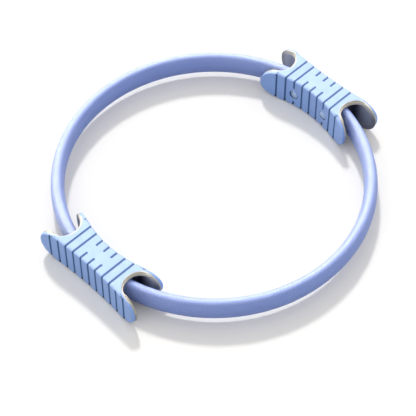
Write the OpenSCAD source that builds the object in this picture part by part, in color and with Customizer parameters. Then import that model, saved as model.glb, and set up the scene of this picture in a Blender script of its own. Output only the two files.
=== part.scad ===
// Pilates ring: a springy round hoop with two double-sided grips, one at each end of a diameter.
// The hoop lies level and stands on the undersides of its grips. The origin is the middle of the
// hoop on the surface below it, +Z is up, and the grips lie on +X and -X.

/* [Hoop] */
// Radius of the hoop to the middle of its tube
hoop_r = 180; // [165:1:200]
// Thickness of the tube across the hoop
tube_t = 15.8; // [14:0.2:17]
// Height of the tube
tube_h = 28; // [26:0.5:29]
// Radius of the tube's top and bottom, which run into its fuller sides
tube_round = 5; // [4:0.2:6]
// Wall of the textured rubber sleeve
sleeve_t = 1.5; // [1:0.1:2]
// Thickness of the flat fibreglass bar
bar_t = 4; // [3:0.25:5]
// Height of the flat fibreglass bar
bar_h = 18; // [15:0.5:19]
// Free space between sleeve, foam and bar
layer_gap = 0.15; // [0.1:0.05:0.3]
// Free space between the ends of the two bars inside a grip
bar_end_gap = 1.4; // [1:0.2:3]

/* [Grips] */
// Height of a grip, which is also what the ring stands on
grip_h = 41; // [38:0.5:46]
// How far the grip's face toward the middle lies inside the hoop's centre line
grip_in = 18.8; // [17:0.2:21]
// How far the grip's outer face lies outside the hoop's centre line
grip_out = 13.5; // [13:0.25:16]
// Radius of the outer face's hollow curve
outer_curve_r = 600; // [450:10:900]
// Half length of the grip at its outer ears
outer_reach = 74.6; // [72:0.2:78]
// Half length of the grip at its inner ears
inner_reach = 66.8; // [65:0.2:69]
// Rounding of the grip's long edges
edge_round = 2.6; // [2:0.1:3.4]
// Thickness of the soft skin
skin_t = 1.8; // [1.6:0.1:2.4]
// Wall of the hard shells
shell_t = 1.8; // [1.4:0.1:2.4]
// Height of the hard rim that shows in the notches
rim_h = 3.4; // [2.6:0.1:3.6]
// Radius of the notch in the top and bottom at each end
notch_r = 20.5; // [19:0.25:21.5]
// Distance from the grip's middle to the deepest point of the notch
notch_depth_at = 42.8; // [41:0.2:45]
// How far the middle of the notch lies inside the hoop's centre line
notch_shift = 6; // [4:0.5:8]
// How far the hard rim shows beyond the skin round the notch
rim_lip = 1.2; // [0.6:0.1:1.6]

/* [Grooves] */
// Distance from groove to groove along the grip
groove_pitch = 11.74; // [11:0.1:12.5]
// Width of a groove
groove_w = 2.1; // [1.4:0.1:2.6]
// Depth of a groove
groove_d = 1.1; // [0.6:0.1:1.3]
// How far below the grip's top the grooves of the ears begin, and above its underside they end
groove_stop = 1.2; // [0.6:0.1:2]
// Where the short grooves of the outer side stop, outside the centre line
short_groove_out = 4.3; // [3:0.5:7]
// Where the short grooves of the inner side stop, inside the centre line
short_groove_in = 10; // [8:0.5:12]

/* [Fastening] */
// Distance of the screws from the middle of the grip
screw_at = 23.5; // [22:0.25:24.5]
// How far the screws lie below mid-height
screw_drop = 2; // [0:0.25:2.5]
// Radius of the smooth field round a screw, which no groove crosses
field_r = 10.5; // [8:0.1:10.6]
// Diameter of a screw's shank
screw_d = 4; // [3:0.5:5]
// Diameter of a screw's head
screw_head_d = 8; // [7:0.25:8.5]
// Height of a screw's head
screw_head_h = 2.6; // [2:0.2:3]
// Diameter of the plug that covers a screw
plug_d = 11; // [10:0.25:11.5]
// Thickness of that plug
plug_t = 2.4; // [1.8:0.2:3]
// How deep the plug's face lies below the skin
plug_sunk = 0.7; // [0.4:0.1:1]
// Depth of the socket in a screw's head
socket_depth = 1.4; // [1:0.1:1.8]
// Thickness of the steel splice plate
plate_t = 2; // [1.5:0.25:2.5]
// Half length of the splice plate
plate_reach = 28.6; // [28:0.2:30]
// Distance of the rivets from the middle of the grip
rivet_at = 13; // [12:0.5:15]
// Distance of a rivet above or below the bar's middle
rivet_rise = 5; // [4:0.25:5.5]
// Diameter of a rivet's shank
rivet_d = 3; // [2.5:0.25:3.5]
// Diameter of a rivet's head
rivet_head_d = 5.4; // [5:0.2:6]
// Height of a rivet's head
rivet_head_h = 1; // [0.8:0.1:1.2]

/* [Shell insides] */
// Distance from the grip's middle to the end of the sleeve, which sits in a collar
seat_at = 31.5; // [31:0.25:32.5]
// Length of the collar that holds the sleeve's end
collar_l = 6; // [4:0.5:6.5]
// Half length of the hollow between the collars
hollow_reach = 28.8; // [28:0.1:29]
// Thickness of the ribs that carry the bar
rib_t = 2; // [1.5:0.25:3]
// Distance of a rib from the middle of the grip
rib_at = 6; // [4:0.5:7.5]
// Radius of the screw boss in the inner shell
inner_boss_r = 7.4; // [7:0.1:8]
// Radius of the screw boss in the outer shell
outer_boss_r = 4.2; // [3.8:0.1:5]
// Free space round what is held in the shells
seat_gap = 0.3; // [0.2:0.05:0.4]
// Free space between the two shells
part_gap = 0.16; // [0.1:0.02:0.3]

/* [Hidden] */
$fn = 96;
// Steps in a full turn: about the hoop's centre, about the far centre of the outer face's curve,
// round the corners of a section, and round the full circle of the tube's sides
hoop_steps = 360;
curve_steps = 1080;
corner_steps = 32;
side_steps = 120;

mid_z = grip_h / 2;
inner_face_r = hoop_r - grip_in;
outer_face_x = hoop_r + grip_out;
ear_r = grip_h / 2;
wall = skin_t + shell_t;

// Blocks and sweeps that bound or cut a grip reach past it: toward the middle, outward, along it,
// and above and below it
near_x = hoop_r - 60;
far_x = hoop_r + 40;
far_y = outer_reach + 50;
spare = 2;
// Half the angles that hold a grip, about the hoop's centre and about its outer face's centre
grip_angle = 32;
curve_angle = 9;
least_round = 0.4;

// Where the webs over the mouths end, and the slot between the ears opens at the top and bottom
slot_at = outer_reach - ear_r + 3.5;
slot_overlap = 0.2;
notch_x = hoop_r - notch_shift;
notch_y = notch_depth_at + notch_r;

// Small clearances: held pieces, threads, loose holes, and heads in their rooms
fit_gap = 0.1;
thread_gap = 0.05;
head_gap = 0.4;
plate_r = hoop_r + bar_t / 2 + fit_gap;
// The plug lies on a shoulder, with the screw's head in a smaller bore below it
screw_z = mid_z - screw_drop;
screw_face_x = sqrt(inner_face_r * inner_face_r - screw_at * screw_at);
plug_face_x = screw_face_x + plug_sunk;
plug_seat_x = plug_face_x + plug_t;
screw_seat_x = plug_seat_x + head_gap + screw_head_h;
screw_tip_x = outer_face_x - wall - fit_gap;

seat_angle = asin(seat_at / hoop_r);
bar_end_angle = asin(bar_end_gap / 2 / hoop_r);
rivet_angle = asin(rivet_at / hoop_r);

blue = [0.66, 0.78, 0.95];
periwinkle = [0.60, 0.68, 0.88];
cream = [0.86, 0.85, 0.80];
steel = [0.70, 0.72, 0.74];
fibreglass = [0.80, 0.76, 0.58];
foam = [0.25, 0.27, 0.32];

// A rectangle with round corners, in the plane of a revolve's profile
module rounded_rect(x0, x1, z0, z1, r) {
    translate([x0 + r, z0]) square([x1 - x0 - 2 * r, z1 - z0]);
    translate([x0, z0 + r]) square([x1 - x0, z1 - z0 - 2 * r]);
    for (x = [x0 + r, x1 - r], z = [z0 + r, z1 - r]) translate([x, z]) circle(r, $fn = corner_steps);
}

// The tube's oval section at a depth below its surface: round ends run tangent into fuller sides
module tube_section(depth) {
    half_t = tube_t / 2 - depth;
    half_h = tube_h / 2 - depth;
    end_r = tube_round - depth;
    end_z = half_h - end_r;
    side_r = (half_t * half_t + end_z * end_z - end_r * end_r) / (2 * (half_t - end_r));
    join_z = side_r * end_z / (side_r - end_r);
    translate([hoop_r, mid_z]) {
        intersection() {
            translate([half_t - side_r, 0]) circle(side_r, $fn = side_steps);
            translate([side_r - half_t, 0]) circle(side_r, $fn = side_steps);
            square([2 * half_t, 2 * join_z], center = true);
        }
        for (z = [-end_z, end_z]) translate([0, z]) circle(end_r, $fn = corner_steps);
    }
}

// The bar's section, grown by a gap on every side
module bar_section(gap) {
    translate([hoop_r - bar_t / 2 - gap, mid_z - bar_h / 2 - gap])
        square([bar_t + 2 * gap, bar_h + 2 * gap]);
}

// Sweeps a section about the hoop's centre, from one angle to another
module hoop_sweep(from, to) {
    rotate([0, 0, from]) rotate_extrude(angle = to - from, $fn = hoop_steps) children();
}

// Sweeps a section through the front half of the hoop, from an angle inside one grip to the other
module half_hoop(end_angle) {
    hoop_sweep(180 + end_angle, 360 - end_angle) children();
}

// Turns a piece of the front or the right half of the ring to the other side
module turned() {
    rotate([0, 0, 180]) children();
}

// Both ends of a grip: what is drawn at +Y is repeated at -Y
module both_ends() {
    children();
    mirror([0, 1, 0]) children();
}

// A block between two corners, over more than the grip's height unless it is told otherwise
module block(x0, x1, y0, y1, z0 = -spare, z1 = grip_h + spare) {
    translate([x0, y0, z0]) cube([x1 - x0, y1 - y0, z1 - z0]);
}

// A round bar along X through a point
module x_rod(r, x0, x1, y, z) {
    translate([x0, y, z]) rotate([0, 90, 0]) cylinder(r = r, h = x1 - x0);
}

// The space between the grip's two curved faces, smaller by a depth there and by another depth at
// the top and bottom, where less than nothing lets it pass through
module grip_space(depth, z_depth) {
    z0 = z_depth;
    z1 = grip_h - z_depth;
    r = max(edge_round - depth, least_round);
    intersection() {
        hoop_sweep(-grip_angle, grip_angle)
            rounded_rect(inner_face_r + depth, far_x + spare, z0, z1, r);
        translate([outer_face_x + outer_curve_r, 0, 0])
            rotate([0, 0, 180 - curve_angle]) rotate_extrude(angle = 2 * curve_angle, $fn = curve_steps)
            rounded_rect(outer_curve_r + depth, outer_curve_r + outer_face_x - near_x, z0, z1, r);
    }
}

// Everything between two distances from the grip's middle, on both sides of it
module ends_between(y0, y1) {
    both_ends() block(near_x, far_x, y0, y1);
}

// The grip's solid below a depth; past the webs it runs through, so its edge shows at the ears
module grip_core(depth) {
    intersection() {
        grip_space(depth, depth);
        block(near_x, far_x, -slot_at, slot_at);
    }
    intersection() {
        grip_space(depth, -spare / 2);
        ends_between(slot_at, far_y);
    }
}

// What is cut away outside the round end of an ear
module ear_corner(x0, x1, reach) {
    difference() {
        block(x0, x1, reach - ear_r, far_y + spare);
        x_rod(ear_r, x0 - spare, x1 + spare, reach - ear_r, mid_z);
    }
}

// The ends of the grip beyond its ears, and the notches between them
module ends_cut(lip) {
    both_ends() {
        ear_corner(notch_x, far_x, outer_reach);
        ear_corner(near_x, notch_x, inner_reach);
        intersection() {
            translate([notch_x, notch_y, -spare]) cylinder(r = notch_r - lip, h = grip_h + 2 * spare);
            block(near_x, far_x, 0, slot_at + slot_overlap);
        }
    }
}

// The hollow mouth behind each notch, and the slot between the ears
module mouths() {
    intersection() {
        grip_space(wall, skin_t + rim_h);
        ends_between(seat_at + collar_l, slot_at + spare / 2);
    }
    intersection() {
        grip_space(wall, -spare / 2);
        ends_between(slot_at, far_y);
    }
}

// One groove across part of the grip, as a slab that the groove's floor is taken from
module groove_slab(k, x0, x1, stop) {
    y = k * groove_pitch;
    block(x0, x1, y - groove_w / 2, y + groove_w / 2, stop, grip_h - stop);
}

// All the grooves, down to their floor: round the whole grip, short ones from both faces, and ears'
module grooves() {
    out_x = hoop_r + short_groove_out;
    in_x = hoop_r - short_groove_in;
    difference() {
        union() {
            for (k = [-3, -2, 2, 3]) groove_slab(k, near_x, far_x, -spare);
            for (k = [-1, 0, 1]) {
                groove_slab(k, out_x, far_x, -spare);
                groove_slab(k, near_x, in_x, -spare);
                for (x = [out_x, in_x]) translate([x, k * groove_pitch, -spare])
                    cylinder(r = groove_w * 0.55, h = grip_h + 2 * spare);
            }
            for (k = [-5, -4, 4, 5]) groove_slab(k, notch_x, far_x, groove_stop);
            for (k = [-4, 4]) groove_slab(k, near_x, notch_x, groove_stop);
        }
        grip_space(groove_d, groove_d);
        for (y = [-screw_at, screw_at])
            x_rod(field_r, near_x - spare, hoop_r - short_groove_in, y, screw_z);
    }
}

module grip_skin() {
    color(blue) difference() {
        grip_space(0, 0);
        grip_core(skin_t);
        ends_cut(0);
        grooves();
        for (y = [-screw_at, screw_at])
            x_rod(plug_d / 2 + fit_gap, near_x, notch_x, y, screw_z);
    }
}

// Room for the tube's ends, the bars and the splice plate
module hoop_room() {
    both_ends() hoop_sweep(seat_angle - fit_gap, grip_angle) tube_section(-seat_gap);
    inside = hoop_r - bar_t / 2 - seat_gap;
    hoop_sweep(-seat_angle - 1, seat_angle + 1)
        translate([inside, mid_z - bar_h / 2 - seat_gap])
            square([plate_r + plate_t + seat_gap - inside, bar_h + 2 * seat_gap]);
}

// What is drawn on the grip's axis, repeated at its four rivets
module at_rivets() {
    for (side = [-1, 1], rise = [-rivet_rise, rivet_rise])
        rotate([0, 0, side * rivet_angle]) translate([0, 0, mid_z + rise]) children();
}

// Room for the rivet heads
module rivet_room() {
    inside = hoop_r - bar_t / 2 - rivet_head_h - head_gap;
    outside = plate_r + plate_t + rivet_head_h + head_gap;
    at_rivets() x_rod(rivet_head_d / 2 + head_gap, inside, outside, 0, 0);
}

// The hollow between the collars, crossed by ribs
module hollow() {
    difference() {
        intersection() {
            grip_space(wall, wall);
            block(near_x, far_x, -hollow_reach, hollow_reach);
        }
        for (y = [-rib_at, rib_at]) block(near_x, far_x, y - rib_t / 2, y + rib_t / 2);
        for (y = [-screw_at, screw_at]) {
            x_rod(inner_boss_r, near_x, hoop_r - bar_t, y, screw_z);
            x_rod(outer_boss_r, hoop_r, far_x, y, screw_z);
        }
    }
}

// What both shells have in common, before they part along the hoop's centre line
module grip_shell() {
    difference() {
        grip_core(skin_t);
        ends_cut(rim_lip);
        mouths();
        hoop_room();
        hollow();
        rivet_room();
        children();
    }
}

// A ring round the hoop's centre, from one radius to another
module ring_between(r0, r1) {
    hoop_sweep(-grip_angle, grip_angle)
        translate([r0, -spare]) square([r1 - r0, grip_h + 2 * spare]);
}

module grip_outer_shell() {
    color(cream) intersection() {
        grip_shell() {
            for (y = [-screw_at, screw_at])
                x_rod(screw_d / 2 + thread_gap, hoop_r - bar_t, screw_tip_x + head_gap, y, screw_z);
        }
        ring_between(hoop_r + part_gap / 2, far_x);
    }
}

module grip_inner_shell() {
    color(cream) intersection() {
        grip_shell() {
            for (y = [-screw_at, screw_at]) {
                x_rod(plug_d / 2 + fit_gap, near_x, plug_seat_x, y, screw_z);
                x_rod(screw_head_d / 2 + seat_gap, near_x, screw_seat_x, y, screw_z);
                x_rod(screw_d / 2 + seat_gap, near_x, hoop_r + bar_t, y, screw_z);
            }
        }
        ring_between(near_x, hoop_r - part_gap / 2);
    }
}

// Holes through bar ends and plate, for rivets and screws, each with its own clearance
module bar_end_holes(rivet_gap, screw_gap) {
    inside = hoop_r - 3 * bar_t;
    outside = hoop_r + 3 * bar_t;
    at_rivets() x_rod(rivet_d / 2 + rivet_gap, inside, outside, 0, 0);
    for (y = [-screw_at, screw_at]) x_rod(screw_d / 2 + screw_gap, inside, outside, y, screw_z);
}

module grip_splice_plate() {
    reach = asin(plate_reach / hoop_r);
    color(steel) difference() {
        hoop_sweep(-reach, reach)
            translate([plate_r, mid_z - bar_h / 2]) square([plate_t, bar_h]);
        bar_end_holes(fit_gap, seat_gap);
    }
}

module grip_rivets() {
    inside = hoop_r - bar_t / 2 - 1.5 * fit_gap;
    outside = plate_r + plate_t + fit_gap;
    color(steel) at_rivets() {
        x_rod(rivet_d / 2, inside - rivet_head_h / 2, outside + rivet_head_h / 2, 0, 0);
        x_rod(rivet_head_d / 2, inside - rivet_head_h, inside, 0, 0);
        x_rod(rivet_head_d / 2, outside, outside + rivet_head_h, 0, 0);
    }
}

// The screws, with a crossed socket in the head
module grip_screws() {
    slot_w = 1;
    slot_l = 4.4;
    color(steel)
        for (y = [-screw_at, screw_at]) difference() {
            union() {
                x_rod(screw_d / 2, screw_seat_x - screw_head_h / 2, screw_tip_x, y, screw_z);
                x_rod(screw_head_d / 2, screw_seat_x - screw_head_h, screw_seat_x, y, screw_z);
            }
            for (turn = [0, 90])
                translate([screw_seat_x - screw_head_h, y, screw_z]) rotate([turn, 0, 0])
                    cube([2 * socket_depth, slot_w, slot_l], center = true);
        }
}

module grip_screw_plugs() {
    color(blue)
        for (y = [-screw_at, screw_at])
            x_rod(plug_d / 2, plug_face_x, plug_seat_x, y, screw_z);
}

module front_bar() {
    color(fibreglass) difference() {
        half_hoop(bar_end_angle) bar_section(0);
        bar_end_holes(1.5 * fit_gap, seat_gap);
        turned() bar_end_holes(1.5 * fit_gap, seat_gap);
    }
}

module front_padding() {
    color(foam) half_hoop(seat_angle + 2 * fit_gap) difference() {
        tube_section(sleeve_t + layer_gap);
        bar_section(layer_gap);
    }
}

module front_sleeve() {
    color(periwinkle) half_hoop(seat_angle) difference() {
        tube_section(0);
        tube_section(sleeve_t);
    }
}

module back_bar() { turned() front_bar(); }
module back_padding() { turned() front_padding(); }
module back_sleeve() { turned() front_sleeve(); }
module left_skin() { turned() grip_skin(); }
module left_outer_shell() { turned() grip_outer_shell(); }
module left_inner_shell() { turned() grip_inner_shell(); }
module left_splice_plate() { turned() grip_splice_plate(); }
module left_rivets() { turned() grip_rivets(); }
module left_screws() { turned() grip_screws(); }
module left_screw_plugs() { turned() grip_screw_plugs(); }

front_bar();
back_bar();
front_padding();
back_padding();
front_sleeve();
back_sleeve();
left_skin();
left_outer_shell();
left_inner_shell();
left_splice_plate();
left_rivets();
left_screws();
left_screw_plugs();
grip_skin();  // right_skin
grip_outer_shell();  // right_outer_shell
grip_inner_shell();  // right_inner_shell
grip_splice_plate();  // right_splice_plate
grip_rivets();  // right_rivets
grip_screws();  // right_screws
grip_screw_plugs();  // right_screw_plugs
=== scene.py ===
"""A pilates ring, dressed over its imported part: meshes, finishes, lights and camera.

The hoop lies level on its two grips, which are on -X and +X. Every length is in metres.
"""

import logging
import math
from dataclasses import dataclass, field
from enum import Enum

import bmesh
import bpy
import numpy as np
from mathutils import Matrix, Vector


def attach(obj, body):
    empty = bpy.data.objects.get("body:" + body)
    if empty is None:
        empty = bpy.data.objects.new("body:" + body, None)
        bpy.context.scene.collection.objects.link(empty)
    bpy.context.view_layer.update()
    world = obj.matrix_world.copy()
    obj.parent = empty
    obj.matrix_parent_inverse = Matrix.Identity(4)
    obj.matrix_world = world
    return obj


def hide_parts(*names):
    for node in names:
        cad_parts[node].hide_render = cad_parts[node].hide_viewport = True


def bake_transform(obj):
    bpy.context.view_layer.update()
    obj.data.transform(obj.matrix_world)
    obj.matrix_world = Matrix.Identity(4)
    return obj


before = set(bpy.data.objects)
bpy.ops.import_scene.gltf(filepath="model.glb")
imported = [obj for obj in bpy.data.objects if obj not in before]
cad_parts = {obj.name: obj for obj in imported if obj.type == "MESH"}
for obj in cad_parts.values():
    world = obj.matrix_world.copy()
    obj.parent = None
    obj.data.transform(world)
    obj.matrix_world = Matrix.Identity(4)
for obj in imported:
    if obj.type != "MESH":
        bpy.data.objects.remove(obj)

LOG = logging.getLogger("pilates_ring")
MM = 0.001
HOOP_BODY = "left_grip_and_hoop"
FREE_BODY = "right_grip"
Colour = tuple[float, float, float]
Socket = bpy.types.NodeSocket
Value = float | Socket


class Half(Enum):
    """The two halves of the hoop, with the angle at which each one starts."""

    FRONT = 180.0
    BACK = 0.0


class Side(Enum):
    """The two grips, with the way that each one faces along X."""

    LEFT = -1
    RIGHT = 1


def linear(colour: Colour) -> tuple[float, float, float, float]:
    """Turns a colour as it is seen on a screen into Blender's linear one.

    Args:
        colour: red, green and blue from 0 to 1.

    Returns:
        The linear colour, with full alpha.
    """
    parts = [c / 12.92 if c <= 0.04045 else ((c + 0.055) / 1.055) ** 2.4 for c in colour]
    return (*parts, 1.0)


class NodeBench:
    """Places and joins the nodes of one tree."""

    def __init__(self, tree: bpy.types.NodeTree) -> None:
        """Takes the tree to work on."""
        self.tree = tree

    def add(self, kind: str, **settings: object) -> bpy.types.Node:
        """Adds a node.

        Args:
            kind: the node's type.
            settings: properties to set on it.

        Returns:
            The new node.
        """
        node = self.tree.nodes.new(kind)
        for name, value in settings.items():
            setattr(node, name, value)
        return node

    def join(self, value: Value | tuple, socket: Socket) -> None:
        """Links a socket to an input, or sets the input to a plain value."""
        if isinstance(value, Socket):
            self.tree.links.new(value, socket)
        else:
            socket.default_value = value

    def math(self, operation: str, *values: Value) -> Socket:
        """Adds a Math node.

        Args:
            operation: what it does.
            values: its inputs, as numbers or sockets.

        Returns:
            Its result.
        """
        node = self.add("ShaderNodeMath", operation=operation)
        for value, socket in zip(values, node.inputs):
            self.join(value, socket)
        return node.outputs[0]

    def length(self, first: Value, second: Value) -> Socket:
        """Returns the length of a vector that has two parts at right angles."""
        squares = [self.math("MULTIPLY", part, part) for part in (first, second)]
        return self.math("SQRT", self.math("ADD", *squares))

    def ramp(self, value: Value, low: Value, high: Value, start: Value = 0.0, end: Value = 1.0) -> Socket:
        """Maps a value smoothly from one range to another.

        Args:
            value: what is mapped.
            low: where the ramp begins.
            high: where it ends.
            start: the result at low and below it.
            end: the result at high and above it.

        Returns:
            The mapped value.
        """
        node = self.add("ShaderNodeMapRange", interpolation_type="SMOOTHSTEP")
        for number, socket in zip((value, low, high, start, end), node.inputs):
            self.join(number, socket)
        return node.outputs[0]

    def mix(self, factor: Value, first: Value | tuple, second: Value | tuple) -> Socket:
        """Mixes two colours and returns the result."""
        node = self.add("ShaderNodeMix", data_type="RGBA")
        factor_input, first_colour, second_colour, colour_result = 0, 6, 7, 2
        self.join(factor, node.inputs[factor_input])
        self.join(first, node.inputs[first_colour])
        self.join(second, node.inputs[second_colour])
        return node.outputs[colour_result]

    def parts(self, vector: Socket) -> list[Socket]:
        """Takes a vector apart into its X, Y and Z."""
        node = self.add("ShaderNodeSeparateXYZ")
        self.join(vector, node.inputs[0])
        return list(node.outputs)

    def place(self) -> Socket:
        """Returns the shaded point's place on the axes of its own object."""
        return self.add("ShaderNodeTexCoord").outputs["Object"]

    def noise(self, per_metre: Value, detail: float = 2.0) -> Socket:
        """Adds a noise that lies fixed in the object, and returns its strength from 0 to 1."""
        node = self.add("ShaderNodeTexNoise")
        self.join(self.place(), node.inputs["Vector"])
        self.join(per_metre, node.inputs["Scale"])
        self.join(detail, node.inputs["Detail"])
        return node.outputs[0]


def new_group(
        name: str, kind: str, inputs: dict[str, object], outputs: dict[str, str],
) -> tuple[NodeBench, bpy.types.Node, bpy.types.Node]:
    """Makes an empty node group with named sockets.

    Args:
        name: the group's name.
        kind: the tree's type.
        inputs: each input's name, with its default value, or its socket type where it has none.
        outputs: each output's name, with its socket type.

    Returns:
        A bench for the group's tree, its input node and its output node.
    """
    tree = bpy.data.node_groups.new(name, kind)
    for title, value in inputs.items():
        if isinstance(value, str):
            tree.interface.new_socket(title, in_out="INPUT", socket_type=value)
            continue
        socket_type = {float: "NodeSocketFloat", int: "NodeSocketInt", tuple: "NodeSocketColor"}[type(value)]
        tree.interface.new_socket(title, in_out="INPUT", socket_type=socket_type).default_value = value
    for title, socket_type in outputs.items():
        tree.interface.new_socket(title, in_out="OUTPUT", socket_type=socket_type)
    bench = NodeBench(tree)
    return bench, bench.add("NodeGroupInput"), bench.add("NodeGroupOutput")


def read_points(obj: bpy.types.Object) -> np.ndarray:
    """Returns the points of an object's mesh, one in each row."""
    points = np.empty(3 * len(obj.data.vertices), dtype=np.float32)
    obj.data.vertices.foreach_get("co", points)
    return points.reshape(-1, 3).astype(float)


def write_points(obj: bpy.types.Object, points: np.ndarray) -> None:
    """Puts moved points back into an object's mesh."""
    obj.data.vertices.foreach_set("co", points.astype(np.float32).ravel())
    obj.data.update()


@dataclass(frozen=True)
class PhotoFit:
    """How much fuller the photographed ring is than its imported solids: 1 or 2 mm in most sizes."""

    taller: float = 1.054
    thicker: float = 1.065
    longer: float = 1.075
    grip_middle: float = 177.35 * MM
    ears_from: float = 48 * MM

    def raise_only(self, obj: bpy.types.Object) -> None:
        """Makes a copied piece of the hoop as tall as the photographed one."""
        points = read_points(obj)
        points[:, 2] *= self.taller
        write_points(obj, points)

    def fill_out(self, obj: bpy.types.Object) -> None:
        """Makes a copied piece of a grip as tall, thick and long at the ears as the photographed one."""
        self.raise_only(obj)
        points = read_points(obj)
        x, y = np.abs(points[:, 0]), np.abs(points[:, 1])
        thick = self.grip_middle + self.thicker * (x - self.grip_middle)
        long = y + (self.longer - 1) * np.maximum(y - self.ears_from, 0)
        points[:, 0] = np.copysign(thick, points[:, 0])
        points[:, 1] = np.copysign(long, points[:, 1])
        write_points(obj, points)


@dataclass(frozen=True)
class GripForm:
    """The plain outer form of a photographed grip, in its sizes and in distances from the hoop's centre."""

    height: float = 43.2 * MM
    inner_face: float = 160.15 * MM
    inner_curve: float = 151.4 * MM
    outer_face: float = 194.55 * MM
    outer_curve: float = 563.4 * MM
    edge_round: float = 2.7 * MM
    outer_reach: float = 76.6 * MM
    inner_reach: float = 68.2 * MM
    notch_x: float = 173.8 * MM
    notch_radius: float = 20.5 * MM
    notch_bottom: float = 42.8 * MM
    skin_wall: float = 1.8 * MM
    rim_height: float = 3.4 * MM
    groove_depth: float = 1.1 * MM
    screw_at: float = 23.5 * MM
    screw_drop: float = 2.1 * MM

    @property
    def ear_radius(self) -> float:
        """Radius of the ears' round ends, whose middles lie at half the height."""
        return self.height / 2

    def depths(
            self, x: np.ndarray, y: np.ndarray, z: np.ndarray) -> tuple[np.ndarray, np.ndarray, np.ndarray]:
        """Measures points of a grip, given by the sizes of their X and Y, and their Z.

        Returns:
            How deep each lies below the nearer side face, below the outline of the ears, top and bottom,
            and how far it lies past the middle of its ear.
        """
        from_inner = np.hypot(x - self.inner_face + self.inner_curve, y) - self.inner_curve
        from_outer = np.hypot(self.outer_face + self.outer_curve - x, y) - self.outer_curve
        reach = np.where(x > self.notch_x, self.outer_reach, self.inner_reach)
        past_ear = y - (reach - self.ear_radius)
        outline = self.ear_radius - np.hypot(np.maximum(past_ear, 0), z - self.height / 2)
        return np.minimum(from_inner, from_outer), outline, past_ear


class Effect(Enum):
    """The shader effects that finishes share, each one a node group."""

    CLOUDING = "clouded tone"
    GRAIN = "moulded grain"
    NET = "net relief"
    DEPTH = "depth below a grip's form"


def clouding_group() -> bpy.types.NodeTree:
    """Makes the group that lets a colour drift between two tones, as moulded rubber does."""
    bench, start, end = new_group(
        Effect.CLOUDING.value, "ShaderNodeTree",
        {"Tone": (1.0, 1.0, 1.0, 1.0), "Second tone": (0.9, 0.9, 0.9, 1.0), "Patches per metre": 40.0},
        {"Colour": "NodeSocketColor"})
    first_only, second_only = 0.35, 0.7
    patches = bench.noise(start.outputs["Patches per metre"], detail=3.0)
    mask = bench.ramp(patches, first_only, second_only)
    bench.join(bench.mix(mask, start.outputs["Tone"], start.outputs["Second tone"]), end.inputs["Colour"])
    return bench.tree


def grain_group() -> bpy.types.NodeTree:
    """Makes the group for the fine grain of a moulded face, with its uneven gloss."""
    bench, start, end = new_group(
        Effect.GRAIN.value, "ShaderNodeTree",
        {"Grains per metre": 1800.0, "Smoothest": 0.4, "Roughest": 0.6},
        {"Height": "NodeSocketFloat", "Roughness": "NodeSocketFloat"})
    patches_per_metre, fine_share, broad_share = 120.0, 0.4, 0.6
    smooth_at, rough_at = 0.3, 0.7
    fine = bench.noise(start.outputs["Grains per metre"])
    broad = bench.noise(patches_per_metre)
    bench.join(fine, end.inputs["Height"])
    shares = bench.math("MULTIPLY", fine, fine_share), bench.math("MULTIPLY", broad, broad_share)
    blend = bench.math("ADD", *shares)
    rough = bench.ramp(blend, smooth_at, rough_at, start.outputs["Smoothest"], start.outputs["Roughest"])
    bench.join(rough, end.inputs["Roughness"])
    return bench.tree


def net_group() -> bpy.types.NodeTree:
    """Makes the group for the sleeve's net of crossing ribs, drawn from the length and girth of its map."""
    bench, start, end = new_group(
        Effect.NET.value, "ShaderNodeTree",
        {"Along": 0.0, "Around": 0.0, "Pitch": 0.0022, "Rib width": 0.45},
        {"Height": "NodeSocketFloat", "Valley": "NodeSocketFloat"})
    ribs = []
    for operation in ("ADD", "SUBTRACT"):
        slant = bench.math(operation, start.outputs["Along"], start.outputs["Around"])
        turn = bench.math("MULTIPLY", bench.math("DIVIDE", slant, start.outputs["Pitch"]), math.pi)
        off = bench.math("ABSOLUTE", bench.math("SINE", turn))
        ribs.append(bench.ramp(off, 0.0, start.outputs["Rib width"], 1.0, 0.0))
    height = bench.math("MAXIMUM", *ribs)
    bench.join(height, end.inputs["Height"])
    bench.join(bench.math("SUBTRACT", 1.0, height), end.inputs["Valley"])
    return bench.tree


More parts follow.
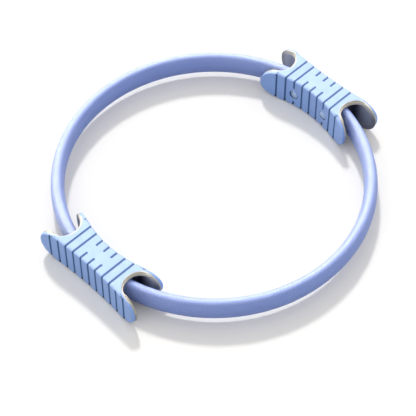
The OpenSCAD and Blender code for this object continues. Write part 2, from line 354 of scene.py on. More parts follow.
def depth_group() -> bpy.types.NodeTree:
    """Makes the group that measures, anywhere on a grip, how deep a point lies below its plain form."""
    form = GripForm()
    bench, start, end = new_group(
        Effect.DEPTH.value, "ShaderNodeTree",
        {"Edge rounding": form.edge_round, "Height": form.height, "Ear radius": form.ear_radius,
         "Outer ear from": form.outer_reach - form.ear_radius,
         "Inner ear from": form.inner_reach - form.ear_radius},
        {title: "NodeSocketFloat" for title in ("Form", "Outline", "Side", "Notch", "Outer", "Along", "Up")})
    to_right, to_back, z = bench.parts(bench.place())
    x, y = bench.math("ABSOLUTE", to_right), bench.math("ABSOLUTE", to_back)

    to_near = bench.math("SUBTRACT", x, form.inner_face - form.inner_curve)
    from_inner = bench.math("SUBTRACT", bench.length(to_near, y), form.inner_curve)
    to_far = bench.math("SUBTRACT", form.outer_face + form.outer_curve, x)
    from_outer = bench.math("SUBTRACT", bench.length(to_far, y), form.outer_curve)
    side = bench.math("MINIMUM", from_inner, from_outer)

    top = bench.math("MINIMUM", z, bench.math("SUBTRACT", start.outputs["Height"], z))
    rounding = start.outputs["Edge rounding"]
    across = bench.math("SUBTRACT", rounding, side)
    upright = bench.math("SUBTRACT", rounding, top)
    corner = bench.length(bench.math("MAXIMUM", across, 0.0), bench.math("MAXIMUM", upright, 0.0))
    inner_part = bench.math("MINIMUM", bench.math("MAXIMUM", across, upright), 0.0)
    below = bench.math("SUBTRACT", bench.math("SUBTRACT", rounding, corner), inner_part)

    is_outer = bench.math("GREATER_THAN", x, form.notch_x)
    farther = bench.math("SUBTRACT", start.outputs["Outer ear from"], start.outputs["Inner ear from"])
    ear_from = bench.math("ADD", start.outputs["Inner ear from"], bench.math("MULTIPLY", is_outer, farther))
    past_ear = bench.math("MAXIMUM", bench.math("SUBTRACT", y, ear_from), 0.0)
    rise = bench.math("SUBTRACT", z, bench.math("MULTIPLY", start.outputs["Height"], 0.5))
    outline = bench.math("SUBTRACT", start.outputs["Ear radius"], bench.length(past_ear, rise))

    beside = bench.math("SUBTRACT", x, form.notch_x)
    beyond = bench.math("SUBTRACT", y, form.notch_bottom + form.notch_radius)
    notch = bench.math("SUBTRACT", bench.length(beside, beyond), form.notch_radius)
    results = {
        "Form": below, "Outline": outline, "Side": side, "Notch": notch,
        "Outer": is_outer, "Along": y, "Up": z}
    for title, value in results.items():
        bench.join(value, end.inputs[title])
    return bench.tree


EFFECT_MAKERS = {
    Effect.CLOUDING: clouding_group, Effect.GRAIN: grain_group,
    Effect.NET: net_group, Effect.DEPTH: depth_group}


@dataclass(frozen=True)
class Clouding:
    """Two close tones, and how finely a face drifts between them."""

    tone: Colour
    second_tone: Colour
    patches_per_metre: float = 90.0


@dataclass(frozen=True)
class Grain:
    """The fine grain of a moulded face, and the range of its roughness."""

    per_metre: float
    smoothest: float
    roughest: float
    depth: float = 0.02 * MM


class FinishBench(NodeBench):
    """Builds one material round its Principled shader."""

    def __init__(self, name: str) -> None:
        """Makes the material, with a plain Principled shader in it."""
        self.material = bpy.data.materials.new(name)
        self.material.use_nodes = True
        super().__init__(self.material.node_tree)
        self.shader = self.tree.nodes["Principled BSDF"]

    def effect(self, kind: Effect, **values: Value | tuple) -> bpy.types.Node:
        """Places a shared effect.

        Args:
            kind: which effect.
            values: its inputs, with underscores for the spaces in their names.

        Returns:
            The group node.
        """
        tree = bpy.data.node_groups.get(kind.value) or EFFECT_MAKERS[kind]()
        node = self.add("ShaderNodeGroup", node_tree=tree)
        for name, value in values.items():
            self.join(value, node.inputs[name.replace("_", " ")])
        return node

    def clouded(self, clouding: Clouding) -> Socket:
        """Returns a colour that drifts between two tones."""
        return self.effect(
            Effect.CLOUDING, Tone=linear(clouding.tone), Second_tone=linear(clouding.second_tone),
            Patches_per_metre=clouding.patches_per_metre).outputs["Colour"]

    def relief(self, height: Socket, depth: float, below: Socket | None = None) -> Socket:
        """Adds a Bump node.

        Args:
            height: the relief, from 0 to 1.
            depth: its real depth in metres.
            below: the normal of a coarser relief under it.

        Returns:
            The bumped normal.
        """
        bump = self.add("ShaderNodeBump")
        self.join(depth, bump.inputs["Distance"])
        self.join(height, bump.inputs["Height"])
        if below is not None:
            self.join(below, bump.inputs["Normal"])
        return bump.outputs["Normal"]

    def shade(self, **values: Value | tuple) -> bpy.types.Material:
        """Sets the shader's inputs, with underscores for spaces, and returns the material."""
        for name, value in values.items():
            self.join(value, self.shader.inputs[name.replace("_", " ")])
        return self.material

    def shade_moulded(
            self, colour: Socket, grain: Grain, below: Socket | None = None, **values: Value,
    ) -> bpy.types.Material:
        """Shades a face that has a fine grain.

        Args:
            colour: its colour.
            grain: its grain.
            below: the normal of a coarser relief under the grain.
            values: further inputs of the shader.

        Returns:
            The material.
        """
        fine = self.effect(
            Effect.GRAIN, Grains_per_metre=grain.per_metre,
            Smoothest=grain.smoothest, Roughest=grain.roughest)
        return self.shade(
            Base_Color=colour, Roughness=fine.outputs["Roughness"],
            Normal=self.relief(fine.outputs["Height"], grain.depth, below), **values)


@dataclass(frozen=True)
class SkinRubber:
    """The soft light-blue rubber of the grips, with painted shade in its grooves and at their feet.

    The sizes from shade_from to side_to are shares of a groove's depth.
    """

    clouding: Clouding = Clouding((0.562, 0.70, 0.94), (0.552, 0.69, 0.93), 55.0)
    grain: Grain = Grain(2600.0, 0.58, 0.66, 0.03 * MM)
    # groove_shade_tone is painted shade: the grooves are darkened to stand in for the shade that falls in
    # them.
    groove_shade_tone: Colour = (0.24, 0.40, 0.61)
    # foot_shade_tone is painted shade: near-black where the grooves meet the floor.
    foot_shade_tone: Colour = (0.06, 0.10, 0.18)
    foot_shade_height: float = 6.5 * MM
    # lit_rim_tone is partly the shell lip's real cream and partly a painted highlight: it is lighter than
    # the shell and hides the shade on the skin's rounded notch edge.
    lit_rim_tone: Colour = (0.88, 0.855, 0.79)
    rim_from: float = 0.7 * MM
    rim_to: float = 1.3 * MM
    near_notch: float = 2.4 * MM
    off_notch: float = 2.88 * MM
    shade_from: float = 0.05
    shade_full: float = 0.25
    inside_from: float = 1.2
    inside_full: float = 1.4
    side_to: float = 1.5
    inner_grooves_to: float = 49.2 * MM
    outer_grooves_to: float = 60.9 * MM

    def groove_share(self, bench: FinishBench, depth: bpy.types.Node) -> Socket:
        """Tells how far a point lies in a groove, where painted shade goes, leaving out the notches and what
        lies inside the skin.

        Args:
            bench: the material's bench.
            depth: the node that measures depths.

        Returns:
            1 in a groove and 0 elsewhere.
        """
        deep = GripForm().groove_depth
        below, notch, side, outer = (depth.outputs[title] for title in ("Form", "Notch", "Side", "Outer"))
        groove = bench.ramp(below, self.shade_from * deep, self.shade_full * deep)
        outside = bench.ramp(below, self.inside_from * deep, self.inside_full * deep, 1.0, 0.0)
        off_notch = bench.ramp(bench.math("ABSOLUTE", notch), self.near_notch, self.off_notch)
        on_side = bench.ramp(side, deep, self.side_to * deep, 1.0, 0.0)
        farther = self.outer_grooves_to - self.inner_grooves_to
        last = bench.math("ADD", self.inner_grooves_to, bench.math("MULTIPLY", outer, farther))
        before_tip = bench.math("LESS_THAN", depth.outputs["Along"], last)
        on_face = bench.math("MULTIPLY", outside, bench.math("MAXIMUM", off_notch, on_side))
        return bench.math("MULTIPLY", groove, bench.math("MULTIPLY", before_tip, on_face))

    def material(self) -> bpy.types.Material:
        """Makes the material."""
        bench = FinishBench("soft grip rubber")
        depth = bench.effect(Effect.DEPTH)
        wall = GripForm().skin_wall
        # Painted shade at the foot: the groove tone turns near-black low down, by the floor.
        in_foot_shade = bench.ramp(depth.outputs["Up"], self.foot_shade_height / 2, self.foot_shade_height, 1.0, 0.0)
        groove_shade_colour = bench.mix(in_foot_shade, linear(self.groove_shade_tone), linear(self.foot_shade_tone))
        # Painted shade: the grooves take a darker tone than the rest of the skin.
        colour = bench.mix(self.groove_share(bench, depth), bench.clouded(self.clouding), groove_shade_colour)
        # Partly real colour, partly painted highlight: the skin's rounded edge at the notch takes a cream
        # lighter than the shell.
        by_notch = bench.ramp(depth.outputs["Notch"], self.rim_from, self.rim_to, 1.0, 0.0)
        at_rim = bench.math("MULTIPLY", by_notch, bench.ramp(depth.outputs["Side"], wall, 2 * wall))
        return bench.shade_moulded(bench.mix(at_rim, colour, linear(self.lit_rim_tone)), self.grain)


@dataclass(frozen=True)
class SleeveRubber:
    """The periwinkle rubber of the hoop's sleeve, with its fine net and painted shade in the net's valleys.
    """

    clouding: Clouding = Clouding((0.87, 0.93, 1.0), (0.86, 0.92, 1.0), 35.0)
    grain: Grain = Grain(2200.0, 0.54, 0.62)
    # valley_shade_tone is painted shade: the valleys between the net's ribs are darkened.
    valley_shade_tone: Colour = (0.46, 0.59, 0.97)
    stretch: float = 0.5
    pitch: float = 1.6 * MM
    net_depth: float = 0.5 * MM
    gloss: float = 1.0

    def material(self) -> bpy.types.Material:
        """Makes the material."""
        bench = FinishBench("net-textured sleeve rubber")
        length, girth, _ = bench.parts(bench.add("ShaderNodeUVMap", uv_map=Hoop.MAP_NAME).outputs[0])
        net = bench.effect(
            Effect.NET, Along=length, Around=bench.math("MULTIPLY", girth, self.stretch), Pitch=self.pitch)
        # Painted shade in the net's valleys.
        colour = bench.mix(net.outputs["Valley"], bench.clouded(self.clouding), linear(self.valley_shade_tone))
        coarse = bench.relief(net.outputs["Height"], self.net_depth)
        return bench.shade_moulded(colour, self.grain, coarse, Specular_IOR_Level=self.gloss)


@dataclass(frozen=True)
class ShellPlastic:
    """The hard plastic of the half shells: cream at the rims, with painted light and shade on the band under
    them, painted shade on the walls inside and dark painted shade deep in the mouths.
    """

    rim: Clouding = Clouding((0.74, 0.715, 0.65), (0.72, 0.695, 0.63), 70.0)
    grain: Grain = Grain(3000.0, 0.45, 0.6)
    # band_shade_colour is painted shade and band_light_colour painted light: the band under the rim is
    # darker low down and lighter than the shell's cream high up.
    band_shade_colour: Colour = (0.48, 0.49, 0.53)
    band_light_colour: Colour = (0.80, 0.785, 0.73)
    # shaded_wall_tone and deep_shade_tone are painted shade: the walls inside the rim darken, and the mouths
    # go near-black deep down.
    shaded_wall_tone: Colour = (0.56, 0.58, 0.64)
    deep_shade_tone: Colour = (0.16, 0.18, 0.27)
    rim_width: float = 3.0 * MM
    blur: float = 0.5 * MM
    wall_blur: float = 1.5 * MM
    inside_from: float = 7.8 * MM
    lit_from: float = 24 * MM
    lit_to: float = 40 * MM
    deep_from: float = 57 * MM
    deep_to: float = 43 * MM
    slanted: float = 0.5
    upright: float = 0.85

    def colour(self, bench: FinishBench) -> Socket:
        """Lays the tones one inside the other.

        Args:
            bench: the material's bench.

        Returns:
            The colour.
        """
        form, depth = GripForm(), bench.effect(Effect.DEPTH)
        outline, blur = depth.outputs["Outline"], self.blur
        under_rim = form.skin_wall + form.rim_height
        # Painted light and shade by height: the band goes from its shaded tone low down to its lit tone high
        # up.
        high = bench.ramp(depth.outputs["Up"], self.lit_from, self.lit_to)
        band = bench.mix(high, linear(self.band_shade_colour), linear(self.band_light_colour))
        # Faces turned toward X take the band's painted light and shade in place of the rim's cream.
        facing_x = bench.parts(bench.add("ShaderNodeNewGeometry").outputs["Normal"])[0]
        on_wall = bench.ramp(bench.math("ABSOLUTE", facing_x), self.slanted, self.upright)
        off_rim = bench.ramp(outline, self.rim_width - blur, self.rim_width + blur)
        tone = bench.mix(bench.math("MAXIMUM", off_rim, on_wall), bench.clouded(self.rim), band)
        # Painted shade on the walls under the rim's band.
        wall_shade_share = bench.ramp(outline, under_rim - blur, under_rim + self.wall_blur)
        tone = bench.mix(wall_shade_share, tone, linear(self.shaded_wall_tone))
        # Painted shade, darkest deep in the mouths.
        deep = bench.ramp(depth.outputs["Along"], self.deep_to, self.deep_from, 1.0, 0.0)
        inside = bench.ramp(outline, under_rim, self.inside_from)
        return bench.mix(bench.math("MULTIPLY", deep, inside), tone, linear(self.deep_shade_tone))

    def material(self) -> bpy.types.Material:
        """Makes the material."""
        bench = FinishBench("hard shell plastic")
        return bench.shade_moulded(self.colour(bench), self.grain)


@dataclass(frozen=True)
class PlugPlastic:
    """The plugs over the screws, with a dark seam that a painted shadow of their recess widens at the foot.
    """

    tone: Colour = (0.72, 0.83, 0.98)
    # seam_shadow_tone is partly the dark seam and partly a painted shadow of the recess, shifted by shift so
    # it is widest at the foot.
    seam_shadow_tone: Colour = (0.24, 0.36, 0.58)
    seam_from: float = 4.9 * MM
    blur: float = 0.5 * MM
    shift: float = 0.5 * MM
    grain: Grain = Grain(2400.0, 0.4, 0.5)

    def material(self) -> bpy.types.Material:
        """Makes the material."""
        form = GripForm()
        bench = FinishBench("plug plastic")
        _, y, z = bench.parts(bench.place())
        along = bench.math("SUBTRACT", bench.math("ABSOLUTE", y), form.screw_at)
        # Dark seam with a painted shadow: the ring's middle is shifted up so the dark band is widest at the
        # bottom.
        up = bench.math("SUBTRACT", z, form.height / 2 - form.screw_drop + self.shift)
        seam = bench.ramp(bench.length(along, up), self.seam_from, self.seam_from + self.blur)
        return bench.shade_moulded(bench.mix(seam, linear(self.tone), linear(self.seam_shadow_tone)), self.grain)


@dataclass(frozen=True)
class PlainFinish:
    """A finish of one clouded tone with a fine grain."""

    name: str
    clouding: Clouding
    grain: Grain
    metallic: float = 0.0

    def material(self) -> bpy.types.Material:
        """Makes the material."""
        bench = FinishBench(self.name)
        return bench.shade_moulded(bench.clouded(self.clouding), self.grain, Metallic=self.metallic)


@dataclass
class Finishes:
    """Every material of the ring, made once."""

    skin: bpy.types.Material = field(init=False)
    sleeve: bpy.types.Material = field(init=False)
    shell: bpy.types.Material = field(init=False)
    plug: bpy.types.Material = field(init=False)
    steel: bpy.types.Material = field(init=False)
    foam: bpy.types.Material = field(init=False)
    fibreglass: bpy.types.Material = field(init=False)

    def __post_init__(self) -> None:
        """Makes the materials."""
        self.skin = SkinRubber().material()
        self.sleeve = SleeveRubber().material()
        self.shell = ShellPlastic().material()
        self.plug = PlugPlastic().material()
        self.steel = PlainFinish(
            "zinc-plated steel", Clouding((0.76, 0.77, 0.78), (0.70, 0.71, 0.72)), Grain(2400.0, 0.25, 0.42),
            metallic=1.0).material()
        self.foam = PlainFinish(
            "closed-cell foam", Clouding((0.27, 0.29, 0.34), (0.22, 0.24, 0.29)),
            Grain(900.0, 0.8, 0.95, 0.3 * MM)).material()
        self.fibreglass = PlainFinish(
            "pultruded fibreglass", Clouding((0.84, 0.80, 0.62), (0.78, 0.74, 0.56)),
            Grain(2400.0, 0.25, 0.4)).material()


def plain_mesh(obj: bpy.types.Object) -> None:
    """Turns an object's modifiers into its mesh and takes them off."""
    graph = bpy.context.evaluated_depsgraph_get()
    made = bpy.data.meshes.new_from_object(
        obj.evaluated_get(graph), preserve_all_data_layers=True, depsgraph=graph)
    obj.modifiers.clear()
    obj.data = made


def add_object(name: str, mesh: bpy.types.Mesh) -> bpy.types.Object:
    """Puts a mesh into the scene as a new object."""
    obj = bpy.data.objects.new(name, mesh)
    bpy.context.scene.collection.objects.link(obj)
    return obj


def smooth_up_to(obj: bpy.types.Object, degrees: float) -> None:
    """Shades an object smooth, except at edges sharper than an angle."""
    obj.data.shade_smooth()
    obj.data.set_sharp_from_angle(angle=math.radians(degrees))


def joined_copy(node: str, name: str, within: float = 1e-7, sharp_from: float = 28.0) -> bpy.types.Object:
    """Copies a CAD node into a piece of its own, with its loose triangles joined.

    Args:
        node: the CAD node.
        name: the new piece's name.
        within: how far apart corners may lie that are joined.
        sharp_from: the angle from which edges stay sharp, in degrees.

    Returns:
        The new object.
    """
    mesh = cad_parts[node].data.copy()
    work = bmesh.new()
    work.from_mesh(mesh)
    bmesh.ops.remove_doubles(work, verts=work.verts, dist=within)
    work.to_mesh(mesh)
    work.free()
    mesh.materials.clear()
    obj = add_object(name, mesh)
    smooth_up_to(obj, sharp_from)
    return obj


def set_one_material(obj: bpy.types.Object, material: bpy.types.Material) -> None:
    """Makes a material the object's only one."""
    obj.data.materials.clear()
    obj.data.materials.append(material)


@dataclass(frozen=True)
class TubeSection:
    """The tube's oval section: round ends that run tangent into fuller sides."""

    thickness: float = 15.8 * MM
    height: float = 29.4 * MM
    end_radius: float = 5.6 * MM
    side_steps: int = 22
    end_steps: int = 7

    @staticmethod
    def arc(
            middle: tuple[float, float], radius: float, first: float, last: float, steps: int,
    ) -> list[tuple[float, float]]:
        """Returns points along an arc, without its last one."""
        angles = [first + (last - first) * i / steps for i in range(steps)]
        return [(middle[0] + radius * math.cos(a), middle[1] + radius * math.sin(a)) for a in angles]

    def outline(self) -> list[tuple[float, float]]:
        """Draws the section, closed at the bottom by a second point on the first.

        Returns:
            Points outward and upward from the section's middle.
        """
        half = self.thickness / 2
        end_z = self.height / 2 - self.end_radius
        side_radius = (half**2 + end_z**2 - self.end_radius**2) / (2 * (half - self.end_radius))
        join = math.asin(end_z / (side_radius - self.end_radius))
        right = [
            *self.arc((0.0, -end_z), self.end_radius, -math.pi / 2, -join, self.end_steps),
            *self.arc((half - side_radius, 0.0), side_radius, -join, join, self.side_steps),
            *self.arc((0.0, end_z), self.end_radius, join, math.pi / 2, self.end_steps)]
        return [*right, (0.0, self.height / 2), *[(-x, z) for x, z in reversed(right)]]


def sweep_tree(weld: float = 0.001 * MM) -> bpy.types.NodeTree:
    """Makes the Geometry Nodes tree that sweeps a section round the hoop and lays its map out.

    Args:
        weld: how far apart the points of the section's seam may lie.

    Returns:
        The tree.
    """
    bench, start, end = new_group(
        "sweep round the hoop", "GeometryNodeTree",
        {"Section": "NodeSocketGeometry", "Hoop radius": 0.18, "Height": 0.02, "First angle": 0.0,
         "Turn": 3.0, "Steps": 300, "Finish": "NodeSocketMaterial"},
        {"Geometry": "NodeSocketGeometry"})
    arc = bench.add("GeometryNodeCurveArc", mode="RADIUS")
    sources = {
        "Resolution": "Steps", "Radius": "Hoop radius", "Start Angle": "First angle", "Sweep Angle": "Turn"}
    for title, source in sources.items():
        bench.join(start.outputs[source], arc.inputs[title])
    lift = bench.add("ShaderNodeCombineXYZ")
    bench.join(start.outputs["Height"], lift.inputs[2])
    raised = bench.add("GeometryNodeTransform")
    bench.join(arc.outputs["Curve"], raised.inputs["Geometry"])
    bench.join(lift.outputs[0], raised.inputs["Translation"])
    level = bench.add("GeometryNodeSetCurveNormal", mode="Z_UP")
    bench.join(raised.outputs[0], level.inputs[0])
    section = bench.add("GeometryNodeMeshToCurve")
    bench.join(start.outputs["Section"], section.inputs[0])

    sweep = bench.add("GeometryNodeCurveToMesh")
    pair = bench.add("ShaderNodeCombineXYZ")
    for i, (curve, title) in enumerate(((level, "Curve"), (section, "Profile Curve"))):
        measure = bench.add("GeometryNodeSplineParameter")
        capture = bench.add("GeometryNodeCaptureAttribute", domain="POINT")
        capture.capture_items.new("FLOAT", "Length")
        bench.join(curve.outputs[0], capture.inputs[0])
        bench.join(measure.outputs["Length"], capture.inputs[1])
        bench.join(capture.outputs[0], sweep.inputs[title])
        bench.join(capture.outputs[1], pair.inputs[i])

    store = bench.add("GeometryNodeStoreNamedAttribute", data_type="FLOAT2", domain="CORNER")
    bench.join(sweep.outputs[0], store.inputs["Geometry"])
    bench.join(Hoop.MAP_NAME, store.inputs["Name"])
    bench.join(pair.outputs[0], store.inputs["Value"])
    merge = bench.add("GeometryNodeMergeByDistance")
    bench.join(store.outputs[0], merge.inputs[0])
    bench.join(weld, merge.inputs["Distance"])
    whole = bench.add("GeometryNodeRealizeInstances")
    bench.join(merge.outputs[0], whole.inputs[0])
    dress = bench.add("GeometryNodeSetMaterial")
    bench.join(whole.outputs[0], dress.inputs["Geometry"])
    bench.join(start.outputs["Finish"], dress.inputs["Material"])
    bench.join(dress.outputs[0], end.inputs[0])
    return bench.tree


def use_tree(obj: bpy.types.Object, tree: bpy.types.NodeTree, values: dict[str, object]) -> None:
    """Runs a Geometry Nodes tree on an object and keeps its result as a plain mesh.

    Args:
        obj: the object that the tree starts from.
        tree: the tree.
        values: its inputs by name.
    """
    modifier = obj.modifiers.new(tree.name, "NODES")
    modifier.node_group = tree
    named = {item.name: item.identifier for item in tree.interface.items_tree if item.in_out == "INPUT"}
    for name, value in values.items():
        modifier[named[name]] = value
    plain_mesh(obj)


@dataclass(frozen=True)
class Hoop:
    """The springy hoop: two fibreglass bars in foam, each half in a net-textured sleeve."""

    MAP_NAME = "length_and_girth"
    radius: float = 180 * MM
    mid_height: float = 21.6 * MM
    seat: float = 31.5 * MM
    sleeve_wall: float = 1.5 * MM
    section: TubeSection = TubeSection()
    bend_from: float = 158 * MM
    steps: int = 420
    sharp_from: float = 40.0

    def build(self, finishes: Finishes) -> list[bpy.types.Object]:
        """Builds both halves.

        Args:
            finishes: the ring's materials.

        Returns:
            The sleeves, paddings and bars.
        """
        tree = sweep_tree()
        made = []
        for half in Half:
            name = half.name.lower()
            made.append(self.sleeve(half, tree, finishes.sleeve))
            made.append(self.inner(f"{name}_padding", "foam", finishes.foam))
            made.append(self.inner(f"{name}_bar", "fibreglass", finishes.fibreglass))
        return made

    def sleeve(self, half: Half, tree: bpy.types.NodeTree, material: bpy.types.Material) -> bpy.types.Object:
        """Sweeps one sleeve and gives it its wall."""
        name = half.name.lower()
        outline = self.section.outline()
        mesh = bpy.data.meshes.new(f"{name}_sleeve_rubber")
        mesh.from_pydata([(x, z, 0) for x, z in outline], [(i, i + 1) for i in range(len(outline) - 1)], [])
        obj = add_object(f"{name}_sleeve_rubber", mesh)
        end = math.asin(self.seat / self.radius)
        use_tree(obj, tree, {
            "Hoop radius": self.radius, "Height": self.mid_height, "Steps": self.steps,
            "First angle": math.radians(half.value) + end, "Turn": math.pi - 2 * end, "Finish": material})
        self.face_outward(obj)
        wall = obj.modifiers.new("wall", "SOLIDIFY")
        wall.thickness, wall.offset, wall.use_even_offset = self.sleeve_wall, -1.0, True
        plain_mesh(obj)
        smooth_up_to(obj, self.sharp_from)
        self.follow(obj, f"{name}_sleeve")
        return obj

    def face_outward(self, obj: bpy.types.Object) -> None:
        """Turns the faces of an open tube away from its inside, where its wall is to go."""
        work = bmesh.new()
        work.from_mesh(obj.data)
        bmesh.ops.recalc_face_normals(work, faces=work.faces)
        highest = max(work.faces, key=lambda face: face.calc_center_median().z)
        if highest.normal.z < 0:
            bmesh.ops.reverse_faces(work, faces=work.faces)
        work.to_mesh(obj.data)
        work.free()

    def inner(self, node: str, slot: str, material: bpy.types.Material) -> bpy.types.Object:
        """Copies an inner layer of the hoop, raises it like the sleeve over it and gives it its material."""
        obj = joined_copy(node, f"{node}_{slot}")
        PhotoFit().raise_only(obj)
        set_one_material(obj, material)
        self.follow(obj, node)
        return obj

    def follow(self, obj: bpy.types.Object, node: str) -> None:
        """Bakes a piece's placement into its mesh and hides the CAD node in whose place it stands."""
        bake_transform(obj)
        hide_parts(node)


@dataclass(frozen=True)
class Grip:
    """One grip: a grooved soft skin over two hard half shells, which hold the ends of the hoop."""

    side: Side
    voxel: float = 0.62 * MM
    softening: float = 0.5
    softening_rounds: int = 2
    ear_round: float = 4.2 * MM
    round_over: float = 10 * MM
    squareness: float = 2.12
    lowest: float = 0.96
    thicker_ear: float = 2.2 * MM
    thick_to: float = 14 * MM

    @property
    def name(self) -> str:
        """The grip's side, as its nodes name it."""
        return self.side.name.lower()

    @property
    def body(self) -> str:
        """The body that the grip rides on."""
        return HOOP_BODY if self.side is Side.LEFT else FREE_BODY

    def build(self, finishes: Finishes) -> list[bpy.types.Object]:
        """Builds and dresses the grip.

        Args:
            finishes: the ring's materials.

        Returns:
            Its pieces.
        """
        made = [self.skin(finishes.skin)]
        for part in ("outer_shell", "inner_shell"):
            made.append(self.copy(part, "plastic"))
            self.round_ears(made[-1])
            self.fill_ears(made[-1])
            self.finish(made[-1], finishes.shell, part)
        for part in ("splice_plate", "rivets", "screws"):
            made.append(self.copy(part, "steel"))
            self.finish(made[-1], finishes.steel, part)
        made.append(self.copy("screw_plugs", "plastic"))
        self.finish(made[-1], finishes.plug, "screw_plugs")
        return made

    def copy(self, part: str, stuff: str) -> bpy.types.Object:
        """Copies one of the grip's solids and fills it out to the photographed size."""
        obj = joined_copy(f"{self.name}_{part}", f"{self.name}_{part}_{stuff}")
        PhotoFit().fill_out(obj)
        return obj

    def skin(self, material: bpy.types.Material) -> bpy.types.Object:
        """Makes the soft skin, with the rounded edges that moulding leaves."""
        obj = self.copy("skin", "rubber")
        remesh = obj.modifiers.new("even mesh", "REMESH")
        remesh.mode, remesh.voxel_size = "VOXEL", self.voxel
        plain_mesh(obj)
        self.round_ears(obj)
        smooth = obj.modifiers.new("soft edges", "SMOOTH")
        smooth.factor, smooth.iterations = self.softening, self.softening_rounds
        plain_mesh(obj)
        self.fill_ears(obj)
        obj.data.shade_smooth()
        self.finish(obj, material, "skin")
        return obj

    def ear_share(self, past_ear: np.ndarray) -> np.ndarray:
        """Returns how far points belong to an ear, from 0 before it to 1 in its round end."""
        return np.clip(0.5 + past_ear / self.round_over, 0, 1)

    def round_ears(self, obj: bpy.types.Object) -> None:
        """Draws what lies outside an ear's rounded edge in to it, along the ear's outline."""
        form, points = GripForm(), read_points(obj)
        x, y, z = np.abs(points[:, 0]), np.abs(points[:, 1]), points[:, 2]
        side, outline, past_ear = form.depths(x, y, z)
        radius = form.edge_round + (self.ear_round - form.edge_round) * self.ear_share(past_ear)
        across, inward = np.maximum(radius - side, 0), np.maximum(radius - outline, 0)
        far = np.hypot(across, inward)
        is_out = (far > radius) & (across > 0) & (inward > 0) & (past_ear > 0)
        pull = np.where(is_out, 1 - radius / np.maximum(far, MM), 0)
        to_face = np.where(x > form.notch_x, 1, -1) * np.sign(points[:, 0])
        rise = z - form.height / 2
        reach = np.maximum(np.hypot(np.maximum(past_ear, 0), rise), MM)
        points[:, 0] -= pull * across * to_face
        points[:, 1] -= pull * inward * np.maximum(past_ear, 0) / reach * np.sign(points[:, 1])
        points[:, 2] -= pull * inward * rise / reach
        write_points(obj, points)

    def fill_ears(self, obj: bpy.types.Object) -> None:
        """Thickens each ear toward the mouth and makes the lower half of its outline squarer."""
        form, points = GripForm(), read_points(obj)
        x, y, z = np.abs(points[:, 0]), np.abs(points[:, 1]), points[:, 2]
        side, _, past_ear = form.depths(x, y, z)
        off_face = np.clip((side - form.groove_depth) / (form.skin_wall - form.groove_depth), 0, 1)
        off_hoop = np.clip((self.thick_to - side) / (self.thick_to - 2 * form.skin_wall), 0, 1)
        inward = np.where(x > form.notch_x, -1, 1) * np.sign(points[:, 0])
        points[:, 0] += inward * self.thicker_ear * self.ear_share(past_ear) * off_face * off_hoop
        drop = np.clip(1 - z / form.ear_radius, 0, self.lowest)
        fuller = (1 - drop**self.squareness) ** (1 / self.squareness) / np.sqrt(1 - drop**2)
        points[:, 1] += np.sign(points[:, 1]) * np.maximum(past_ear, 0) * (fuller - 1)
        write_points(obj, points)

    def finish(self, obj: bpy.types.Object, material: bpy.types.Material, part: str) -> None:
        """Gives a piece its material and its body, and hides the CAD node that it stands for."""
        set_one_material(obj, material)
        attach(obj, self.body)
        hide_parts(f"{self.name}_{part}")


@dataclass(frozen=True)
class Lamp:
    """A sun lamp, placed by its angles in degrees from straight behind the ring as the camera sees it."""

    name: str
    to_the_right: float
    height: float
    strength: float
    spread: float
    gloss_only: bool = False
    distance: float = 2.0

    def build(self, behind: float) -> None:
        """Hangs the lamp.

        Args:
            behind: the compass angle of straight behind the ring, in degrees from +X.
        """
        data = bpy.data.lights.new(self.name, "SUN")
        data.energy, data.angle = self.strength, math.radians(self.spread)
        lamp = bpy.data.objects.new(self.name, data)
        bpy.context.scene.collection.objects.link(lamp)
        lamp.visible_diffuse = not self.gloss_only
        turn, height = math.radians(behind - self.to_the_right), math.radians(self.height)
        level, up = math.cos(height), math.sin(height)
        toward = Vector((math.cos(turn) * level, math.sin(turn) * level, up))
        lamp.rotation_euler = toward.to_track_quat("Z", "Y").to_euler()
        lamp.location = toward * self.distance


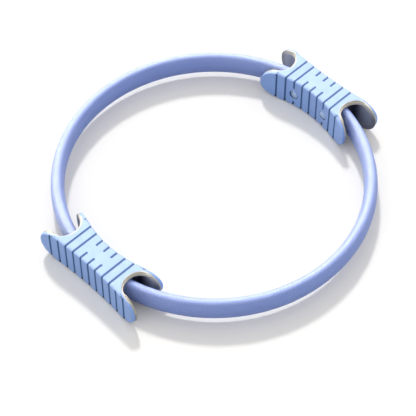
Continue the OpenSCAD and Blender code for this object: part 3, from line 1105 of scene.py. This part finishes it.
@dataclass(frozen=True)
class Studio:
    """A white floor and backdrop, a soft key light from behind, sheets of light for gloss, and a fill."""

    behind: float = 44.9
    lamps: tuple[Lamp, ...] = (
        Lamp("key", -9.4, 48.0, 1.5, 7.0),
        Lamp("gloss from the left", -75.0, 14.0, 13.0, 60.0, gloss_only=True),
        Lamp("gloss from behind", -30.0, 45.0, 8.5, 60.0, gloss_only=True),
        Lamp("gloss from the right", 30.0, 38.0, 6.0, 60.0, gloss_only=True))
    fill: float = 0.75
    floor_reach: float = 6.0
    bounce: float = 0.45
    floor_seen: tuple[float, float, float, float] = (1.0, 0.98, 0.94, 1.0)

    def build(self) -> None:
        """Builds the floor, the lamps and the world."""
        self.floor()
        for lamp in self.lamps:
            lamp.build(self.behind)
        self.world()

    def seen(self, bench: NodeBench) -> Socket:
        """Returns 1 for camera, glossy and transmission rays, which see the plain white backdrop."""
        path = bench.add("ShaderNodeLightPath")
        looks = bench.math("MAXIMUM", path.outputs["Is Camera Ray"], path.outputs["Is Glossy Ray"])
        return bench.math("MAXIMUM", looks, path.outputs["Is Transmission Ray"])

    def floor(self) -> None:
        """Lays the floor under the ring."""
        reach = self.floor_reach
        mesh = bpy.data.meshes.new("floor")
        corners = [(-reach, -reach, 0), (reach, -reach, 0), (reach, reach, 0), (-reach, reach, 0)]
        mesh.from_pydata(corners, [], [(0, 1, 2, 3)])
        obj = add_object("floor", mesh)
        bench = FinishBench("white floor")
        shade = bench.mix(self.seen(bench), (self.bounce, self.bounce, self.bounce, 1.0), self.floor_seen)
        set_one_material(obj, bench.shade(Base_Color=shade, Roughness=1.0, Specular_IOR_Level=0.0))

    def world(self) -> None:
        """Sets the even fill, with a white backdrop for the camera."""
        world = bpy.data.worlds.new("studio")
        world.use_nodes = True
        bench = NodeBench(world.node_tree)
        background = world.node_tree.nodes["Background"]
        background.inputs["Color"].default_value = (1.0, 1.0, 1.0, 1.0)
        strength = bench.math("ADD", self.fill, bench.math("MULTIPLY", self.seen(bench), 1.0 - self.fill))
        bench.join(strength, background.inputs["Strength"])
        bpy.context.scene.world = world


@dataclass(frozen=True)
class PhotoCamera:
    """The camera at the photograph's viewing angle, with its angles in degrees."""

    azimuth: float = -45.105
    elevation: float = 51.638
    roll: float = 0.209
    distance: float = 1.7608
    pixels_per_metre: float = 868.57
    picture_width: float = 416.0
    middle_of_hoop: tuple[float, float] = (214.2, 177.54)
    target: tuple[float, float, float] = (0.0, 0.0, 0.0216)
    sensor_mm: float = 36.0
    sees_to: float = 50.0

    def build(self) -> None:
        """Places the camera and makes it the scene's."""
        a, e = math.radians(self.azimuth), math.radians(self.elevation)
        right = Vector((math.cos(a), math.sin(a), 0))
        back = Vector((math.sin(a) * math.cos(e), -math.cos(a) * math.cos(e), math.sin(e)))
        up = back.cross(right)
        turn = Matrix.Rotation(math.radians(self.roll), 3, back)
        axes = [turn @ right, turn @ up, back]
        data = bpy.data.cameras.new("camera")
        data.sensor_width = self.sensor_mm
        data.lens = self.pixels_per_metre * self.distance / self.picture_width * self.sensor_mm
        half = self.picture_width / 2
        data.shift_x = (half - self.middle_of_hoop[0]) / self.picture_width
        data.shift_y = (self.middle_of_hoop[1] - half) / self.picture_width
        data.clip_end = self.sees_to
        camera = bpy.data.objects.new("camera", data)
        bpy.context.scene.collection.objects.link(camera)
        place = Vector(self.target) + back * self.distance
        camera.matrix_world = Matrix.Translation(place) @ Matrix(axes).transposed().to_4x4()
        bpy.context.scene.camera = camera


def main() -> None:
    """Builds the ring, the studio and the camera."""
    logging.basicConfig(level=logging.INFO, format="%(name)s: %(message)s")
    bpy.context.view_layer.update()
    bpy.context.scene.view_settings.view_transform = "Standard"
    PhotoCamera().build()
    Studio().build()
    finishes = Finishes()
    for maker in (Hoop(), Grip(Side.LEFT), Grip(Side.RIGHT)):
        for obj in maker.build(finishes):
            LOG.info("%s: %d vertices", obj.name, len(obj.data.vertices))


if __name__ == "__main__":
    main()
